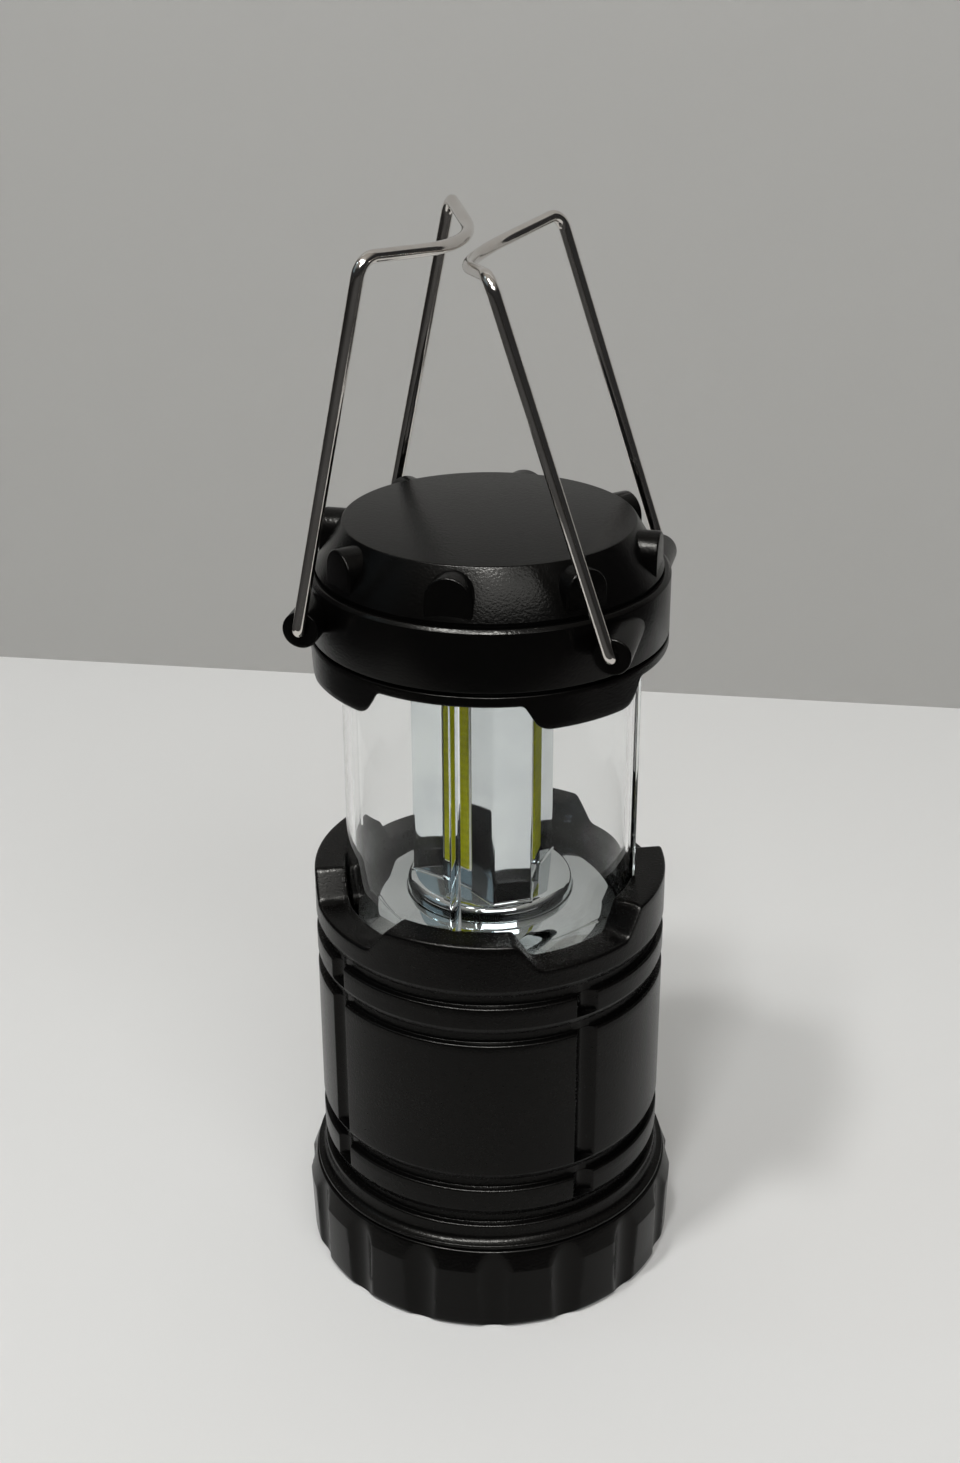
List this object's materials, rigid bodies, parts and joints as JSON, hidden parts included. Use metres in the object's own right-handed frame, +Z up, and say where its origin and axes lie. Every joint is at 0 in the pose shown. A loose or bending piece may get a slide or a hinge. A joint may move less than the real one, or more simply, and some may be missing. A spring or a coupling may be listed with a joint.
{
  "type": "camping lantern",
  "caption": "Pull-up camping lantern: a clear lamp head with folding wire handles slides up out of a round grooved base on a scalloped twist-off battery cover.",
  "frame": {"origin": "on the ground under the lantern's axis, at the middle of the battery cover's underside", "axes": "+Z up along the lantern's axis; +X towards the right handle's pivots; +Y along the pivots' axes"},
  "size_m": [0.088, 0.088, 0.2418],
  "materials": {
    "black_plastic": "satin black moulding",
    "clear_lens": "clear polished plastic",
    "reflector_chrome": "bright vacuum plating",
    "handle_wire": "bright nickel-plated steel wire",
    "light_phosphor": "smooth yellow phosphor gel",
    "board_white": "white solder mask",
    "circuit_board": "green solder mask",
    "contact_metal": "plated sheet and wire",
    "cell_wrap": "plain wrapped steel can",
    "seal_rubber": "soft black rubber"
  },
  "bodies": {
    "base_housing": {"body_shell": "black_plastic", "battery_tray": "black_plastic", "battery_cell_1": "cell_wrap", "battery_cell_2": "cell_wrap", "battery_cell_3": "cell_wrap", "contact_plates": "contact_metal", "contact_springs": "contact_metal", "contact_rails": "contact_metal", "tray_screws": "contact_metal"},
    "battery_cover": {"battery_cover": "black_plastic", "cover_seal": "seal_rubber"},
    "lamp_head": {"lamp_carrier": "black_plastic", "driver_board": "circuit_board", "sliding_contacts": "contact_metal", "lens_tube": "clear_lens", "reflector_dish": "reflector_chrome", "reflector_tower": "reflector_chrome", "light_board_1": "board_white", "light_board_2": "board_white", "light_board_3": "board_white", "light_strip_1": "light_phosphor", "light_strip_2": "light_phosphor", "light_strip_3": "light_phosphor", "top_reflector": "reflector_chrome", "cap_skirt": "black_plastic", "cap_band": "black_plastic", "cap_top": "black_plastic", "tower_screws": "contact_metal"},
    "left_handle": {"left_handle": "handle_wire"},
    "right_handle": {"right_handle": "handle_wire"}
  },
  "joints": [
    {"name": "lamp_slide", "type": "slide", "parent": "base_housing", "child": "lamp_head", "axis": [0, 0, 1], "range_m": [-0.0544, 0]},
    {"name": "left_handle_fold", "type": "hinge", "parent": "lamp_head", "child": "left_handle", "pos_m": [-0.032, 0, 0.165], "axis": [0, -1, 0], "range_deg": [0, 190]},
    {"name": "right_handle_fold", "type": "hinge", "parent": "lamp_head", "child": "right_handle", "pos_m": [0.032, 0, 0.165], "axis": [0, 1, 0], "range_deg": [0, 196.7]},
    {"name": "cover_twist", "type": "hinge", "parent": "base_housing", "child": "battery_cover", "pos_m": [0, 0, 0], "axis": [0, 0, -1], "range_deg": [0, 30]}
  ]
}
